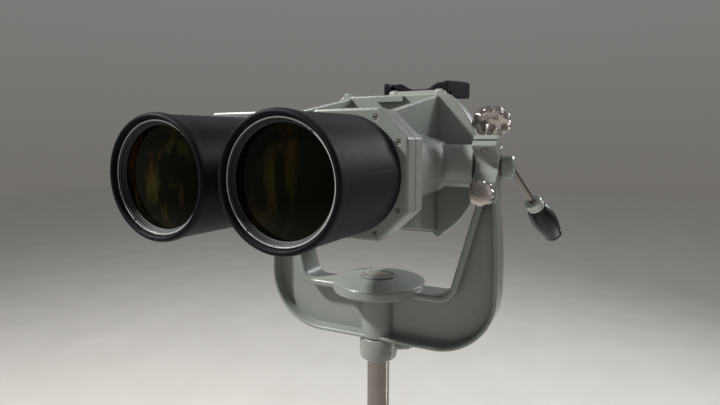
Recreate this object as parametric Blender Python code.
"""Pedestal observation binocular on a pan and tilt fork.

Frame: metres, +Z up, origin at the centre of the underside of the floor flange.
The objectives look towards -Y and the observer stands at +Y; _L is the
observer's left (+X) and _R is the observer's right (-X).
The base is laid out in metres. The fork and head are laid out in units of UNIT,
measured from the point where the tilt axis crosses the pan axis.
"""
import itertools
import math

import bmesh
import bpy
from mathutils import Matrix, Vector

for leftover in list(bpy.data.objects):
    bpy.data.objects.remove(leftover, do_unlink=True)

# ------------------------------------------------------ shared dimensions
# in metres
UNIT = 0.064           # radius of an objective retaining ring
METRE = 1.0            # unit of the parts laid out in metres
TILT_HEIGHT = 1.400    # tilt axis above the floor
GAP = 0.0005           # running gap between neighbouring pieces
SHAFT_R = 0.0120       # pan spindle

# in units of UNIT
AXIS_X = 1.268             # half the spacing of the two objectives
Y_FLANGE_FRONT = -4.466    # octagonal objective plates
Y_FLANGE_BACK = -4.085
Y_BODY = -3.65             # back of the housing's own octagonal flange
Y_DRUM_FRONT = 0.85
Y_DRUM_BACK = 1.42
Y_CASE_BACK = 2.12
OCT_W, OCT_H, OCT_STRAIGHT = 1.262, 1.25, 0.68
CLAMP_X0, CLAMP_X1 = 2.79, 3.38      # inner and outer faces of the clamps
PRISM_POCKET_X = (0.85, 1.62)
PRISM_POCKET_Z = (-0.45, 1.45)

PAN = Vector((0.0, 0.0, 0.0))
TILT = Vector((0.0, 0.0, TILT_HEIGHT))
LEFT, BACK, UP = (1, 0, 0), (0, 1, 0), (0, 0, 1)
SIDES = ((1, "L"), (-1, "R"))


def place(x, y, z):
    """Head coordinates in units of UNIT to world metres."""
    return Vector((x * UNIT, y * UNIT, TILT_HEIGHT + z * UNIT))


# -------------------------------------------------------------- materials
def material(name, rgb, roughness, metallic=0.0):
    made = bpy.data.materials.new(name)
    made.use_nodes = True
    inputs = made.node_tree.nodes["Principled BSDF"].inputs
    inputs["Base Color"].default_value = (*rgb, 1.0)
    inputs["Roughness"].default_value = roughness
    inputs["Metallic"].default_value = metallic
    made.diffuse_color = (*rgb, 1.0)
    return made


PAINT = material("paint_grey_green", rgb=(0.235, 0.262, 0.232), roughness=0.42)
RUBBER = material("rubber_black", rgb=(0.018, 0.018, 0.022), roughness=0.55)
CHROME = material("chrome", rgb=(0.80, 0.79, 0.77), roughness=0.12, metallic=1.0)
STEEL = material("steel_polished", rgb=(0.45, 0.40, 0.38), roughness=0.22, metallic=1.0)
DARK = material("black_anodised", rgb=(0.02, 0.02, 0.022), roughness=0.4, metallic=0.2)
GLASS = material("coated_glass", rgb=(0.03, 0.035, 0.02), roughness=0.05)
BRONZE = material("bronze", rgb=(0.50, 0.33, 0.14), roughness=0.35, metallic=1.0)
ALUMINIUM = material("aluminium_satin", rgb=(0.62, 0.63, 0.61), roughness=0.35, metallic=1.0)
GRIP = material("grip_black", rgb=(0.012, 0.012, 0.013), roughness=0.3)


# ---------------------------------------------------------------- objects
def world_origin(ob):
    """World position of an object whose parents are only shifted, never turned."""
    at = ob.location.copy()
    while ob.parent:
        ob = ob.parent
        at += ob.location
    return at


def frame(name, at, parent=None):
    ob = bpy.data.objects.new(name, None)
    bpy.context.collection.objects.link(ob)
    ob.location = at - (world_origin(parent) if parent else Vector())
    ob.parent = parent
    return ob


def solid(name, shape, mat, parent, pivot=None):
    """Turn a bmesh in world metres into an object with its origin on pivot.

    Without a pivot the origin is that of the parent frame.
    """
    bmesh.ops.remove_doubles(shape, verts=shape.verts, dist=1e-7)
    bmesh.ops.recalc_face_normals(shape, faces=shape.faces)
    parent_at = world_origin(parent)
    at = parent_at if pivot is None else Vector(pivot)
    bmesh.ops.translate(shape, verts=shape.verts, vec=-at)
    mesh = bpy.data.meshes.new(name)
    shape.to_mesh(mesh)
    shape.free()
    mesh.shade_smooth()
    mesh.set_sharp_from_angle(angle=math.radians(35))
    mesh.materials.append(mat)
    ob = bpy.data.objects.new(name, mesh)
    bpy.context.collection.objects.link(ob)
    ob.parent = parent
    ob.location = at - parent_at
    return ob


helper_numbers = itertools.count(1)


def combine(target, shape, operation, pivot):
    """Apply a boolean modifier that uses shape as a hidden helper solid."""
    helper = solid("helper_%03d" % next(helper_numbers), shape, PAINT, target.parent, pivot)
    helper.hide_render = True
    helper.display_type = "WIRE"
    modifier = target.modifiers.new(operation.lower(), "BOOLEAN")
    modifier.operation = operation
    modifier.solver = "EXACT"
    modifier.object = helper


def join(target, shape, pivot=None):
    combine(target, shape, "UNION", pivot)


def cut(target, shape, pivot=None):
    combine(target, shape, "DIFFERENCE", pivot)


# ----------------------------------------------------------------- shapes
def loft(rings, closed=False):
    """Skin a list of rings (equal point counts; one point makes a pole)."""
    shape = bmesh.new()
    loops = [[shape.verts.new(p) for p in ring] for ring in rings]
    count = max(len(ring) for ring in rings)
    pairs = list(zip(loops, loops[1:]))
    if closed:
        pairs.append((loops[-1], loops[0]))
    for here, there in pairs:
        for k in range(count):
            k2 = (k + 1) % count
            if len(here) == 1:
                shape.faces.new((here[0], there[k], there[k2]))
            elif len(there) == 1:
                shape.faces.new((here[k], there[0], here[k2]))
            else:
                shape.faces.new((here[k], there[k], there[k2], here[k2]))
    if not closed:
        if len(loops[0]) > 1:
            shape.faces.new(loops[0])
        if len(loops[-1]) > 1:
            shape.faces.new(list(reversed(loops[-1])))
    return shape


def axes(direction):
    """Unit vector along direction and two square to it."""
    along = Vector(direction).normalized()
    ref = Vector(UP) if abs(along.z) < 0.9 else Vector(LEFT)
    across = ref.cross(along).normalized()
    return along, across, along.cross(across).normalized()


def turned(at, direction, profile, segments, closed=False, lobe=None, unit=UNIT, phase=0.0):
    """Turn (radius, distance along direction) pairs about an axis through at.

    A closed profile makes a ring; lobe(angle, radius) scales a radius.
    """
    along, across, upright = axes(direction)
    profile = list(profile)
    # a flat end is one face, so its centre point is left out
    if profile[0][0] <= 1e-9 and profile[0][1] == profile[1][1]:
        profile = profile[1:]
    if profile[-1][0] <= 1e-9 and profile[-1][1] == profile[-2][1]:
        profile = profile[:-1]
    rings = []
    for radius, distance in profile:
        centre = Vector(at) + along * (distance * unit)
        if radius <= 1e-9:
            rings.append([centre])
            continue
        ring = []
        for k in range(segments):
            angle = phase + 2 * math.pi * k / segments
            reach = radius * (lobe(angle, radius) if lobe else 1.0) * unit
            ring.append(centre + across * (reach * math.cos(angle))
                        + upright * (reach * math.sin(angle)))
        rings.append(ring)
    return loft(rings, closed)


def cylinder(at, direction, radius, low, high, segments, unit=UNIT, phase=0.0):
    profile = [(0, low), (radius, low), (radius, high), (0, high)]
    return turned(at, direction, profile, segments, unit=unit, phase=phase)


def bore(at, direction, radius, low, high, segments, unit=UNIT):
    """A round cutter, turned a little so its corners miss its neighbours' corners."""
    return cylinder(at, direction, radius, low, high, segments, unit, phase=0.11)


def tube(at, direction, inner, outer, low, high, segments, unit=UNIT):
    profile = [(inner, low), (outer, low), (outer, high), (inner, high)]
    return turned(at, direction, profile, segments, closed=True, unit=unit)


def star(lobes, depth, core=0.16):
    """Radius scale of a lobed head: lobes cut depth deep, round inside core."""
    def scale(angle, radius):
        if radius <= core:
            return 1.0
        return 1.0 - depth * (0.5 - 0.5 * math.cos(lobes * angle))
    return scale


def hexagon(core):
    """Radius scale of a hexagonal head, round inside core."""
    sixth = math.pi / 3

    def scale(angle, radius):
        if radius <= core:
            return 1.0
        return math.cos(sixth / 2) / math.cos((angle + sixth / 2) % sixth - sixth / 2)
    return scale


def slab(outline, axis, low, high):
    """Extrude a closed outline along "x", as (y, z) pairs, or "y", as (x, z) pairs."""
    if axis == "x":
        return loft([[place(t, y, z) for y, z in outline] for t in (low, high)])
    return loft([[place(x, t, z) for x, z in outline] for t in (low, high)])


def box(x0, x1, y0, y1, z0, z1):
    return slab([(x0, z0), (x1, z0), (x1, z1), (x0, z1)], "y", y0, y1)


def scaled_loft(outline, stations, centre_z=0.0):
    """Loft an (x, z) outline through (y, x scale, z scale) stations."""
    return loft([[place(x * wide, y, centre_z + z * tall) for x, z in outline]
                 for y, wide, tall in stations])


def side_span(side, near, far):
    """The x range from near to far on one side, low end first."""
    return sorted((side * near, side * far))


# --------------------------------------------------------------- outlines
def arc(centre_x, centre_z, radius, start, end, steps):
    """Points of an arc between two angles in degrees."""
    angles = [math.radians(start + (end - start) * i / steps) for i in range(steps + 1)]
    return [(centre_x + radius * math.cos(a), centre_z + radius * math.sin(a)) for a in angles]


def arc_through(start, middle, end, steps):
    """Points of the circle through three points, from start to end."""
    (x0, y0), (x1, y1), (x2, y2) = start, middle, end
    d = 2 * (x0 * (y1 - y2) + x1 * (y2 - y0) + x2 * (y0 - y1))
    sq0, sq1, sq2 = (x * x + y * y for x, y in (start, middle, end))
    centre_x = (sq0 * (y1 - y2) + sq1 * (y2 - y0) + sq2 * (y0 - y1)) / d
    centre_y = (sq0 * (x2 - x1) + sq1 * (x0 - x2) + sq2 * (x1 - x0)) / d
    radius = math.hypot(x0 - centre_x, y0 - centre_y)
    first, mid, last = (math.atan2(y - centre_y, x - centre_x) for x, y in (start, middle, end))
    turn = 2 * math.pi
    sweep = (last - first) % turn
    if (mid - first) % turn > sweep:
        sweep -= turn
    angles = [first + sweep * i / steps for i in range(steps + 1)]
    return [(centre_x + radius * math.cos(a), centre_y + radius * math.sin(a)) for a in angles]


def mirror(points):
    return [(-x, z) for x, z in reversed(points)]


def u_shape(outer, inner):
    """Closed outline of a U, from the right halves of its two contours."""
    return mirror(outer)[:-1] + outer + inner[::-1] + [(-x, z) for x, z in inner[1:]]


def octagon(centre_x, half_w, half_h, straight):
    """Octagon about (centre_x, 0); its straight sides reach +-straight."""
    return [(centre_x + x, z) for x, z in (
        (-half_w, -straight), (-straight, -half_h), (straight, -half_h), (half_w, -straight),
        (half_w, straight), (straight, half_h), (-straight, half_h), (-half_w, straight))]


def obround(offset, radius, half_h, steps):
    """Drum outline: arcs about x = +-offset, cut flat at +-half_h."""
    angle = math.degrees(math.asin(half_h / radius))
    right = arc(offset, 0.0, radius, -angle, angle, steps)
    return right + mirror(right)


# ---------------------------------------------------------- moving frames
BASE = frame("base_frame", PAN)
YOKE = frame("pan_axis", PAN, BASE)
HEAD = frame("tilt_axis", TILT, YOKE)

# ------------------------------------- floor flange and pedestal (metres)
POST_R = 0.0211
POST_WALL = 0.003
POST_TOP = 1.048
SOCKET_FLOOR = 0.010
PLUG_R = POST_R - POST_WALL - GAP
BOLT_CIRCLE_R = 0.108

# gusset outline: (distance from the pan axis, height)
GUSSET = [(0.026, 0.0123), (0.118, 0.0123), (0.118, 0.0175), (0.038, 0.078), (0.026, 0.078)]
GUSSET_HALF_T = 0.004


def bolt_places():
    for k in range(4):
        angle = math.radians(90 * k)
        yield Vector((BOLT_CIRCLE_R * math.cos(angle), BOLT_CIRCLE_R * math.sin(angle), 0.0))


def build_base_flange():
    flange = solid("base_flange", turned(PAN, UP, [
        (0, 0), (0.137, 0), (0.140, 0.003), (0.140, 0.012), (0.136, 0.016), (0.070, 0.016),
        (0.048, 0.024), (0.036, 0.060), (0.033, 0.092), (0.030, 0.096), (0, 0.096)],
        28, unit=METRE), PAINT, BASE)
    for k in range(4):
        gusset = loft([[Vector((r, side, z)) for r, z in GUSSET]
                       for side in (-GUSSET_HALF_T, GUSSET_HALF_T)])
        turn = Matrix.Rotation(math.radians(45 + 90 * k), 3, "Z")
        bmesh.ops.rotate(gusset, verts=gusset.verts, cent=PAN, matrix=turn)
        join(flange, gusset)
    # the socket is cleared after the gussets are joined
    cut(flange, bore(PAN, UP, POST_R + GAP, SOCKET_FLOOR, 0.12, 28, METRE))
    for at in bolt_places():
        cut(flange, bore(at, UP, 0.0068, -0.01, 0.05, 12, METRE))


def build_anchor_bolts():
    for number, at in enumerate(bolt_places(), 1):
        solid("anchor_bolt_%d" % number, turned(at, UP, [
            (0, 0.001), (0.0055, 0.001), (0.0060, 0.002), (0.0060, 0.0163),
            (0.0112, 0.0163), (0.0112, 0.0225), (0.0098, 0.0240), (0, 0.0240)],
            12, lobe=hexagon(core=0.0075), unit=METRE), STEEL, BASE, at)


def build_post():
    solid("post_tube", tube(PAN, UP, POST_R - POST_WALL, POST_R, SOCKET_FLOOR + GAP, POST_TOP,
                            32, METRE), STEEL, BASE)


# heights in UNIT from the tilt axis, then in metres from the floor
FORK_CORNER_Z, FORK_CORNER_R = -3.32, 1.70
FORK_BOTTOM = FORK_CORNER_Z - FORK_CORNER_R
HUB_TOP = -3.38
FORK_FLOOR_H = TILT_HEIGHT + FORK_BOTTOM * UNIT            # underside of the fork
POCKET_H = TILT_HEIGHT + HUB_TOP * UNIT - 0.014            # floor of the nut pocket
NUT_TOP = 0.0100                                           # above the pocket floor


def build_spindle():
    plug_top = POST_TOP + 0.0004
    shaft_top = POCKET_H + NUT_TOP
    tip = shaft_top + 0.0012
    solid("spindle", turned(PAN, UP, [
        (0, 0.985), (PLUG_R - 0.002, 0.985), (PLUG_R, 0.987), (PLUG_R, plug_top),
        (0.0205, plug_top), (0.0205, 1.056), (SHAFT_R, 1.0575), (SHAFT_R, shaft_top),
        (SHAFT_R - 0.001, tip), (0, tip)], 20, unit=METRE), STEEL, BASE)
    solid("spindle_nut", turned((0, 0, POCKET_H), UP, [
        (SHAFT_R + GAP, 0.0012), (0.0205, 0.0012), (0.0205, 0.0085), (0.0190, NUT_TOP),
        (SHAFT_R + GAP, NUT_TOP)],
        24, closed=True, lobe=hexagon(core=SHAFT_R + 0.003), unit=METRE), STEEL, BASE)


# --------------------------------------------------------------- the fork
BEARING_BORE_R = 0.0170    # metres
BEARING_LENGTH = 0.014     # metres
RIM_HALF_W = 0.45          # half width of the fork's rims, along y
INNER_CORNER_Z, INNER_CORNER_R = -3.12, 0.35


def outer_path(inset):
    """Right half (+X) of the fork's outer contour, from the centre up, moved in."""
    return ([(0.0, FORK_BOTTOM + inset)]
            + arc(1.76, FORK_CORNER_Z, FORK_CORNER_R - inset, -90, 0, 6)
            + [(3.45 - inset, -2.45), (3.39 - inset, -1.40),
               (3.345 - inset, -0.85), (3.345 - inset, -0.45)])


def inner_path(outset):
    """Right half (+X) of the fork's inner contour, from the centre up, moved out."""
    return ([(0.0, INNER_CORNER_Z - INNER_CORNER_R - outset)]
            + arc(1.90, INNER_CORNER_Z, INNER_CORNER_R + outset, -90, -16, 4)
            + [(2.86 + outset * 0.96, -0.90), (2.965 + outset * 0.7, -0.45)])


# Clamps: split ears point up and forward, a lip below takes the tilt lock screw.
CLAMP_X = 0.5 * (CLAMP_X0 + CLAMP_X1)
CLAMP_EAR_REACH = 0.95     # from the tilt axis
CLAMP_EAR_T = 0.19         # half thickness of both ears together
SLIT_T = 0.014             # half width of the slit between them
CLAMP_SCREW_REACH = 0.77   # clamp screw from the tilt axis
LIP_Y = -0.70              # front of the lip
LOCK_Z = -0.60             # tilt lock screw
SCREW_R, SCREW_HOLE_R = 0.075, 0.085


def ear_point(reach, across):
    """(y, z) of a point reach along the ears and across them, up and back."""
    diagonal = math.sqrt(0.5)
    return diagonal * (across - reach), diagonal * (across + reach)


def clamp_outline():
    """Side view (y, z) of one clamp."""
    ears = [ear_point(0.45, CLAMP_EAR_T), ear_point(CLAMP_EAR_REACH, CLAMP_EAR_T),
            ear_point(CLAMP_EAR_REACH, -CLAMP_EAR_T)]
    throat = arc_through(ear_point(0.80, -CLAMP_EAR_T), (-0.405, 0.02), (-0.615, -0.25), 6)
    lip = [(LIP_Y, -0.33), (LIP_Y, -0.80), (-0.64, -0.87), (0.45, -0.87)]
    return ears + throat + lip + arc(0.0, 0.0, 0.56, -36, 84, 6)


def build_fork():
    # two rims with a thin web between them
    fork = solid("yoke_frame", slab(u_shape(outer_path(0.0), outer_path(0.11)), "y",
                                    -RIM_HALF_W, RIM_HALF_W), PAINT, YOKE)
    join(fork, slab(u_shape(inner_path(0.0), inner_path(0.20)), "y", -RIM_HALF_W, RIM_HALF_W))
    join(fork, slab(u_shape(outer_path(0.05), inner_path(0.07)), "y", -0.09, 0.09))
    # column and hub disc on the pan axis
    join(fork, turned(TILT, UP, [(0, -4.99), (0.50, -4.99), (0.49, -3.60), (0, -3.60)], 28))
    join(fork, turned(TILT, UP, [
        (0, -3.66), (0.49, -3.66), (1.25, -3.64), (1.33, -3.60), (1.33, HUB_TOP - 0.03),
        (1.30, HUB_TOP), (0, HUB_TOP)], 32))
    for side, _ in SIDES:
        join(fork, slab(clamp_outline(), "x", *side_span(side, CLAMP_X0, CLAMP_X1)))

    slit = [ear_point(0.2, -SLIT_T), ear_point(1.1, -SLIT_T),
            ear_point(1.1, SLIT_T), ear_point(0.2, SLIT_T)]
    for side, _ in SIDES:
        x0, x1 = side_span(side, CLAMP_X0 - 0.1, CLAMP_X1 + 0.1)
        cut(fork, bore(TILT, LEFT, 0.30, x0, x1, 24))
        cut(fork, slab(slit, "x", x0, x1))
        screw_at = place(side * CLAMP_X, *ear_point(CLAMP_SCREW_REACH, 0.0))
        cut(fork, bore(screw_at, (0, 1, 1), SCREW_HOLE_R, -0.5, 0.5, 12))
        lock_at = place(side * CLAMP_X, 0, LOCK_Z)
        cut(fork, bore(lock_at, BACK, SCREW_HOLE_R, -0.8, 0.05, 12))
    # spindle bore, and the nut pocket under the cap
    cut(fork, bore((0, 0, FORK_FLOOR_H), UP, BEARING_BORE_R, -0.02, 0.25, 24, METRE))
    cut(fork, bore((0, 0, POCKET_H), UP, 0.026, 0.0, 0.04, 24, METRE))


def build_bearings():
    for name, z in (("lower_bearing", FORK_FLOOR_H + 0.006), ("upper_bearing", POCKET_H - 0.016)):
        solid(name, tube((0, 0, z), UP, SHAFT_R + GAP, BEARING_BORE_R - GAP, 0, BEARING_LENGTH,
                         24, METRE), BRONZE, YOKE)


def build_pan_collar():
    """Collar below the fork, with a boss for the pan lock screw."""
    angle = math.radians(28)
    lock_dir = Vector((math.cos(angle), math.sin(angle), 0.0))
    lock_at = place(0, 0, -5.33)
    collar = solid("pan_collar", turned(TILT, UP, [
        (0.345, -5.66), (0.525, -5.66), (0.56, -5.45), (0.545, -5.20), (0.51, -5.03),
        (0.345, -5.03)], 28, closed=True), PAINT, YOKE)
    join(collar, turned(lock_at, lock_dir, [
        (0, 0.40), (0.165, 0.40), (0.155, 0.90), (0.13, 0.94), (0, 0.94)], 14))
    cut(collar, bore(lock_at, lock_dir, 0.075, 0.30, 1.1, 12))
    solid("pan_lock_screw", turned(lock_at, lock_dir, [
        (0, 0.38), (0.065, 0.38), (0.065, 0.948), (0.115, 0.948), (0.115, 1.02),
        (0.095, 1.04), (0, 1.04)], 20, lobe=star(lobes=10, depth=0.07, core=0.10)),
        STEEL, YOKE, lock_at + lock_dir * (0.6 * UNIT))


def build_hub_cap():
    """Domed cap over the nut pocket, and its round badge."""
    seat = HUB_TOP + 0.008
    solid("hub_cap", turned(TILT, UP, [
        (0, -3.235), (0.545, -3.235), (0.56, -3.222), (0.90, -3.250), (1.20, -3.307),
        (1.335, -3.352), (1.335, seat), (0.40, seat), (0.36, -3.31), (0, -3.31)], 32),
        PAINT, YOKE)
    solid("cap_badge", turned(TILT, UP, [
        (0, -3.2265), (0.50, -3.2265), (0.50, -3.19), (0.435, -3.19), (0.43, -3.20),
        (0, -3.20)], 24), PAINT, YOKE)


def build_clamp_fittings(side, tag):
    """Trunnion bush and the two knobs of one clamp."""
    x0, x1 = side_span(side, CLAMP_X0 + 0.01, CLAMP_X1 - 0.01)
    solid("trunnion_bush_" + tag, tube(TILT, LEFT, 0.245, 0.292, x0, x1, 20), BRONZE, YOKE)
    # screw square to the ears, star head above and behind them
    at = place(side * CLAMP_X, *ear_point(CLAMP_SCREW_REACH, 0.0))
    solid("clamp_knob_" + tag, turned(at, (0, 1, 1), [
        (0, -0.215), (SCREW_R, -0.215), (SCREW_R, 0.20), (0.13, 0.215), (0.15, 0.62),
        (0.45, 0.69), (0.49, 0.77), (0.49, 0.87), (0.43, 0.96), (0, 1.01)],
        24, lobe=star(lobes=8, depth=0.17)), CHROME, YOKE, at)
    at = place(side * CLAMP_X, LIP_Y, LOCK_Z)
    solid("tilt_lock_knob_" + tag, turned(at, (0, -1, 0), [
        (0, -0.62), (SCREW_R, -0.62), (SCREW_R, 0.012), (0.13, 0.02), (0.13, 0.12),
        (0.30, 0.18), (0.33, 0.24), (0.33, 0.31), (0.29, 0.38), (0, 0.40)],
        24, lobe=star(lobes=8, depth=0.13)), CHROME, YOKE, at)


# ------------------------------------------------------ binocular housing
HOUSING_OCT_H = 1.235
BOSS_X = 1.50              # root of a trunnion boss
PIN_R = 0.235              # trunnion pin


def barrel_r(y):
    """Outer radius of the tapered barrels."""
    return 0.96 - 0.0467 * (y - Y_BODY)


def rib(side):
    """Upright fin through one barrel, growing taller to the rear."""
    rings = []
    for y in (Y_BODY - 0.03, Y_DRUM_FRONT - 0.008):
        half_h = 1.111 + 0.1827 * (y - Y_BODY)
        rings.append([place(side * x, y, z) for x, z in (
            (1.44, -half_h), (1.44, half_h), (1.29, half_h), (1.29, -half_h))])
    return loft(rings)


def build_housing():
    def front_flange(side):
        outline = octagon(side * AXIS_X, OCT_W, HOUSING_OCT_H, OCT_STRAIGHT)
        return slab(outline, "y", Y_FLANGE_BACK + 0.015, Y_BODY)

    housing = solid("main_housing", front_flange(1), PAINT, HEAD)
    join(housing, front_flange(-1))
    join(housing, box(-0.25, 0.25, Y_FLANGE_BACK + 0.03, Y_BODY - 0.01, -0.58, 0.58))

    barrel_front, barrel_back = Y_BODY - 0.12, Y_DRUM_FRONT - 0.01
    boss_end = CLAMP_X0 - 0.03 - BOSS_X
    for side, _ in SIDES:
        join(housing, turned(place(side * AXIS_X, 0, 0), BACK, [
            (0, barrel_front), (barrel_r(barrel_front), barrel_front),
            (barrel_r(Y_DRUM_FRONT), barrel_back), (0, barrel_back)], 36))
        # trunnion boss, flared where it meets the barrel
        join(housing, turned(place(side * BOSS_X, 0, 0), (side, 0, 0), [
            (0, 0), (0.757, 0), (0.645, 0.31), (0.600, 0.37), (0.570, 0.43), (0.560, 0.49),
            (0.56, boss_end), (0, boss_end)], 28))
    # central box between the barrels
    join(housing, box(-1.25, 1.25, Y_BODY - 0.1, Y_DRUM_FRONT - 0.012, -0.72, 0.72))
    for side, _ in SIDES:
        join(housing, rib(side))

    for side, _ in SIDES:
        # light path, wide at the front and narrower to the rear
        cut(housing, turned(place(side * AXIS_X, 0, 0), BACK, [
            (0, Y_FLANGE_BACK - 0.1), (0.95, Y_FLANGE_BACK - 0.1), (0.95, Y_BODY - 0.05),
            (0.85, Y_BODY + 0.02), (0.60, -0.75), (0.60, Y_DRUM_FRONT + 0.1),
            (0, Y_DRUM_FRONT + 0.1)], 28, phase=0.11))
        # trunnion pin seat
        cut(housing, bore(TILT, LEFT, 0.243, *side_span(side, 1.99, 2.9), 20))
    # hollow of the central box, open at the rear
    cut(housing, box(-0.30, 0.30, Y_BODY + 0.15, Y_DRUM_FRONT + 0.2, -0.60, 0.60))


# ------------------------------------------------------------- objectives
Y_LIP = -6.75              # front of the rubber lips
Y_RING = -6.659            # front of the retaining rings


def build_objective(side, tag):
    centre = side * AXIS_X
    at = place(centre, 0, 0)
    # (y, inset of the half sizes, inset of the straight sides): front edge bevelled
    stations = ((Y_FLANGE_BACK, 0, 0), (Y_FLANGE_FRONT + 0.05, 0, 0),
                (Y_FLANGE_FRONT, 0.04, 0.015))
    flange = solid("objective_flange_" + tag, loft([
        [place(x, y, z) for x, z in octagon(centre, OCT_W - inset, OCT_H - inset,
                                            OCT_STRAIGHT - straight_inset)]
        for y, inset, straight_inset in stations]), PAINT, HEAD, at)
    cut(flange, bore(at, BACK, 1.022, -5.0, -3.5, 32))
    solid("objective_tube_" + tag, turned(at, BACK, [
        (1.012, -6.515), (1.012, -4.105), (0.935, -4.105), (0.935, -6.38), (0.89, -6.40),
        (0.89, -6.45), (0.945, -6.455), (0.945, -6.515)], 28, closed=True), DARK, HEAD, at)
    solid("objective_lens_" + tag, turned(at, BACK, [
        (0, -6.600), (0.30, -6.592), (0.60, -6.567), (0.935, -6.515), (0.935, -6.465),
        (0.5, -6.452), (0, -6.448)], 28), GLASS, HEAD, at)
    solid("retaining_ring_" + tag, turned(at, BACK, [
        (1.008, -6.650), (1.008, -6.527), (0.915, -6.527), (0.915, -6.545),
        (0.975, Y_RING), (1.000, Y_RING)], 32, closed=True), ALUMINIUM, HEAD, at)
    hood_back = Y_FLANGE_FRONT - 0.008
    solid("rubber_hood_" + tag, turned(at, BACK, [
        (1.020, -6.690), (1.032, -6.733), (1.065, Y_LIP), (1.100, -6.735), (1.122, -6.69),
        (1.126, -6.60), (1.104, -6.46), (1.140, hood_back), (1.020, hood_back)],
        32, closed=True), RUBBER, HEAD, at)


def build_trunnion_pin(side, tag):
    """Stub shaft in the boss; the left one carries the handle hub."""
    profile = [(0, 2.0), (0.21, 2.0), (PIN_R, 2.03)]
    if side > 0:
        profile += [(PIN_R, 3.395), (0.135, 3.395), (0.135, 3.60), (0, 3.60)]
    else:
        profile += [(PIN_R, 3.41), (0.20, 3.45), (0, 3.45)]
    solid("trunnion_pin_" + tag, turned(TILT, (side, 0, 0), profile, 24), STEEL, HEAD)


# ----------------------------------------------- rear drum and prism case
CASE_Z = 0.35                      # centre height of the prism case
EYE_X, EYE_Z = 0.50, 1.35          # eyepiece axis (64 mm apart)
PIVOT_X, PIVOT_Z = 0.95, 1.00      # swing axis of an eyepiece turret


def build_rear_drum():
    drum = solid("rear_drum", scaled_loft(obround(0.26, 2.42, 2.0, 10), (
        (Y_DRUM_FRONT, 0.972, 0.972), (Y_DRUM_FRONT + 0.06, 1, 1),
        (Y_DRUM_BACK - 0.06, 1, 1), (Y_DRUM_BACK, 0.972, 0.972))), PAINT, HEAD)
    for x in (1.47, -1.47):
        for z in (1.96, -1.96):
            join(drum, cylinder(place(x, Y_DRUM_FRONT, z), BACK, 0.14, 0, 0.30, 10))
    pocket_back = Y_DRUM_BACK + 0.1
    for side, _ in SIDES:
        # prism pocket and its light hole
        cut(drum, box(*side_span(side, *PRISM_POCKET_X), 1.02, pocket_back, *PRISM_POCKET_Z))
        cut(drum, bore(place(side * AXIS_X, 0, 0), BACK, 0.36,
                       Y_DRUM_FRONT - 0.1, Y_DRUM_FRONT + 0.3, 20))
    # central pocket and a round one below it
    cut(drum, box(-0.72, 0.72, 1.03, pocket_back, -0.70, 1.40))
    cut(drum, bore(place(0, 0, -1.42), BACK, 0.45, 1.03, pocket_back, 20))


def build_sight_block():
    solid("sight_block", box(-0.42, 0.42, 0.70, Y_DRUM_FRONT - 0.008, 1.78, 1.96), PAINT, HEAD)


def build_prism_case():
    case = solid("prism_case", scaled_loft(obround(0.45, 1.62, 1.35, 6), (
        (Y_DRUM_BACK + 0.01, 1, 1), (Y_CASE_BACK - 0.08, 1, 1), (Y_CASE_BACK, 0.96, 0.95)),
        CASE_Z), PAINT, HEAD)
    pocket_front = Y_DRUM_BACK - 0.1
    cut(case, box(-0.70, 0.70, pocket_front, 1.90, -0.68, 1.38))
    for side, _ in SIDES:
        cut(case, box(*side_span(side, *PRISM_POCKET_X), pocket_front, 1.85, *PRISM_POCKET_Z))
        # seat of the turret journal
        cut(case, bore(place(side * PIVOT_X, 0, PIVOT_Z), BACK, 0.20, 1.6, 2.4, 16))


def build_prism(side, tag):
    """Rhomboid prism lifting the light path to the turret."""
    outline = [(1.06, -0.36), (1.78, 0.36), (1.78, 1.38), (1.06, 0.66)]
    solid("prism_" + tag, slab(outline, "x", *side_span(side, 0.90, 1.57)),
          GLASS, HEAD, place(side * AXIS_X, 1.4, 0))


# ------------------------------------------------------ eyepiece turrets
def teardrop(side, inset):
    """(x, z) outline of two circles joined by their tangents."""
    pivot_r, eye_r = 0.46 - inset, 0.34 - inset
    dx, dz = side * (EYE_X - PIVOT_X), EYE_Z - PIVOT_Z
    base = math.degrees(math.atan2(dz, dx))
    tangent = math.degrees(math.acos((pivot_r - eye_r) / math.hypot(dx, dz)))
    return (arc(side * PIVOT_X, PIVOT_Z, pivot_r, base + tangent, base + 360 - tangent, 10)
            + arc(side * EYE_X, EYE_Z, eye_r, base - tangent, base + tangent, 7))


def build_turret(side, tag):
    pivot = place(side * PIVOT_X, Y_CASE_BACK, PIVOT_Z)
    stations = ((0.02, 0.0), (0.48, 0.0), (0.54, 0.05))    # (behind the case, inset)
    turret = solid("eyepiece_turret_" + tag, loft([
        [place(x, Y_CASE_BACK + behind, z) for x, z in teardrop(side, inset)]
        for behind, inset in stations]), PAINT, HEAD, pivot)
    # journal that runs in the case, and the bore for the eyepiece
    journal_at = place(side * PIVOT_X, 1.93, PIVOT_Z)
    join(turret, cylinder(journal_at, BACK, 0.185, 0, 0.4, 16), pivot)
    cut(turret, bore(place(side * EYE_X, 0, EYE_Z), BACK, 0.205, 2.30, 2.9, 16), pivot)


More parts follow.
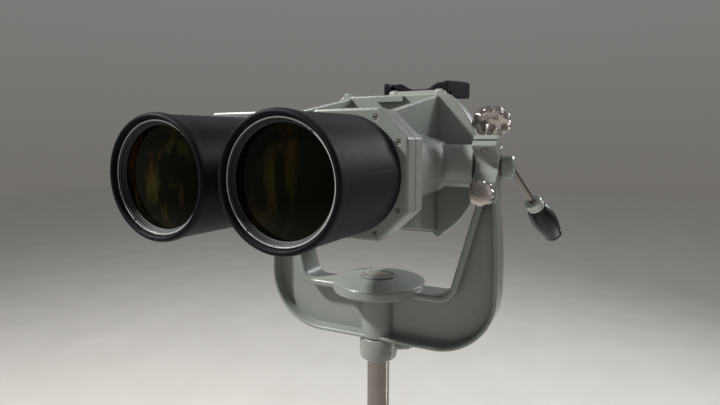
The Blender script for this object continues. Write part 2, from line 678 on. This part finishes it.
def build_eyepiece(side, tag):
    eye = place(side * EYE_X, 0, EYE_Z)
    pivot = place(side * EYE_X, 2.9, EYE_Z)
    solid("eyepiece_tube_" + tag, turned(eye, BACK, [
        (0.13, 2.45), (0.195, 2.45), (0.195, 2.98), (0.25, 2.99), (0.25, 3.38),
        (0.19, 3.38), (0.19, 3.31), (0.13, 3.30)], 20, closed=True), DARK, HEAD, pivot)
    solid("eye_lens_" + tag, turned(eye, BACK, [
        (0, 3.315), (0.183, 3.315), (0.183, 3.345), (0.12, 3.362), (0, 3.37)], 16),
        GLASS, HEAD, pivot)
    solid("focus_ring_" + tag, turned(eye, BACK, [
        (0.262, 2.72), (0.305, 2.72), (0.325, 2.75), (0.325, 2.93), (0.305, 2.96),
        (0.262, 2.96)], 24, closed=True, lobe=star(lobes=12, depth=0.035, core=0.31)),
        DARK, HEAD, place(side * EYE_X, 2.84, EYE_Z))
    solid("eyecup_" + tag, turned(eye, BACK, [
        (0.258, 3.12), (0.31, 3.12), (0.315, 3.34), (0.36, 3.64), (0.335, 3.66),
        (0.29, 3.42), (0.258, 3.40)], 24, closed=True), RUBBER, HEAD, pivot)


# --------------------------------------------------------------- brow pad
BROW_Y, BROW_Z = 3.02, 2.20            # hinge axis
BROW_AT = place(0, BROW_Y, BROW_Z)
BROW_HOLE_R = 0.060
EAR_INNER, EAR_OUTER = 0.68, 0.92      # faces of the bracket's ears
PAD_HALF_W = 1.10
# stations across half the pad, as fractions of PAD_HALF_W
PAD_STATIONS = [0.0, 0.14, 0.28, 0.38, 0.48, 0.60, 0.74, 0.84, 0.855, 0.93, 1.0]


def build_brow_bracket():
    """Plate rising rearward from the drum to a knuckle with an ear at each end."""
    start_y = Y_DRUM_BACK + 0.012
    outline = ([(start_y, 1.80), (start_y, 1.93), (2.45, 2.00), (2.78, 2.10)]
               + arc(BROW_Y, BROW_Z, 0.12, 150, -60, 7)
               + [(2.92, 2.00), (2.62, 1.88), (1.9, 1.80)])
    bracket = solid("brow_bracket", slab(outline, "x", -EAR_OUTER, EAR_OUTER), PAINT, HEAD)
    for side, _ in SIDES:
        join(bracket, cylinder(BROW_AT, LEFT, 0.155, *side_span(side, EAR_INNER, EAR_OUTER), 18))
    cut(bracket, bore(BROW_AT, LEFT, BROW_HOLE_R, -1.2, 1.2, 12))
    solid("brow_hinge_pin", turned(BROW_AT, LEFT, [
        (0, -1.09), (0.040, -1.09), (0.052, -1.078), (0.052, 1.078), (0.040, 1.09),
        (0, 1.09)], 14), STEEL, HEAD, BROW_AT)


def pad_section(v):
    """Cross-section of the brow pad at v from -1 to 1 across the head.

    The middle is thin and dips, a hump rises on each side, and beyond the
    ears the pad reaches forward around the hinge pin.
    """
    away = abs(v)
    x = v * PAD_HALF_W
    beyond_ears = away > 0.85
    t = min(1.0, max(0.0, (away - 0.20) / 0.42))
    hump = t * t * (3 - 2 * t)
    front = BROW_Y - 0.135 if beyond_ears else 3.20
    upper_front = front + (0.01 if beyond_ears else 0.0)
    back = 3.56 + 0.49 * away ** 2
    top = 2.345 + 0.275 * hump
    low = 2.07 + 0.06 * (1.0 - hump)
    lean = 0.46 * away * away * (1 if v > 0 else -1)    # outward shift of the back
    return [
        place(x, front + 0.03, low),
        place(x, front, low + 0.04),
        place(x, upper_front, top - 0.14 - 0.04 * hump),
        place(x + lean * 0.1, front + 0.08, top - 0.05),
        place(x + lean * 0.45, 0.5 * (front + back), top + 0.01),
        place(x + lean * 0.9, back - 0.14, top),
        place(x + lean, back, top - 0.10),
        place(x + lean, back - 0.02, low + 0.05),
        place(x + lean * 0.9, back - 0.10, low)]


def build_brow_pad():
    stations = [-v for v in reversed(PAD_STATIONS[1:])] + PAD_STATIONS
    pad = solid("brow_pad", loft([pad_section(v) for v in stations]), RUBBER, HEAD, BROW_AT)
    for x0, x1 in ((-1.4, -0.85), (0.85, 1.4)):
        cut(pad, bore(BROW_AT, LEFT, BROW_HOLE_R, x0, x1, 12), BROW_AT)


# ------------------------------------------------------------- pan handle
# on the left trunnion, pointing outward, back and down
HANDLE_DIR = Vector((0.358, 0.598, -0.717)).normalized()
HANDLE_AT = place(3.55, 0.04, 0.07)


def build_handle():
    hub = solid("handle_hub", turned(TILT, LEFT, [
        (0, 3.408), (0.275, 3.408), (0.287, 3.42), (0.287, 3.665), (0.255, 3.70),
        (0, 3.70)], 24), PAINT, HEAD)
    join(hub, cylinder(HANDLE_AT, HANDLE_DIR, 0.12, 0.0, 0.40, 14))
    cut(hub, bore(TILT, LEFT, 0.145, 3.38, 3.62, 16))
    cut(hub, bore(HANDLE_AT, HANDLE_DIR, 0.083, 0.24, 0.6, 12))
    solid("handle_rod", cylinder(HANDLE_AT, HANDLE_DIR, 0.072, 0.25, 2.40, 16), STEEL, HEAD)
    solid("handle_ferrule", turned(HANDLE_AT, HANDLE_DIR, [
        (0.080, 1.40), (0.20, 1.40), (0.228, 1.43), (0.228, 1.56), (0.220, 1.66),
        (0.080, 1.66)], 24, closed=True), ALUMINIUM, HEAD)
    grip = solid("handle_grip", turned(HANDLE_AT, HANDLE_DIR, [
        (0, 1.67), (0.245, 1.67), (0.270, 1.74), (0.315, 1.92), (0.338, 2.12),
        (0.333, 2.33), (0.300, 2.54), (0.252, 2.69), (0.246, 2.74), (0.222, 2.83),
        (0.11, 2.885), (0, 2.895)], 24), GRIP, HEAD)
    cut(grip, bore(HANDLE_AT, HANDLE_DIR, 0.080, 1.55, 2.43, 12))


# --------------------------------------------------------------- assembly
# helper solids are numbered in the order of these calls
build_base_flange()
build_anchor_bolts()
build_post()
build_spindle()
build_fork()
build_bearings()
build_pan_collar()
build_hub_cap()
build_housing()
build_rear_parts = (build_prism, build_turret, build_eyepiece)
for piece_side, piece_tag in SIDES:
    build_clamp_fittings(piece_side, piece_tag)
    build_objective(piece_side, piece_tag)
    build_trunnion_pin(piece_side, piece_tag)
build_rear_drum()
build_sight_block()
build_prism_case()
for piece_side, piece_tag in SIDES:
    for build in build_rear_parts:
        build(piece_side, piece_tag)
build_brow_bracket()
build_brow_pad()
build_handle()
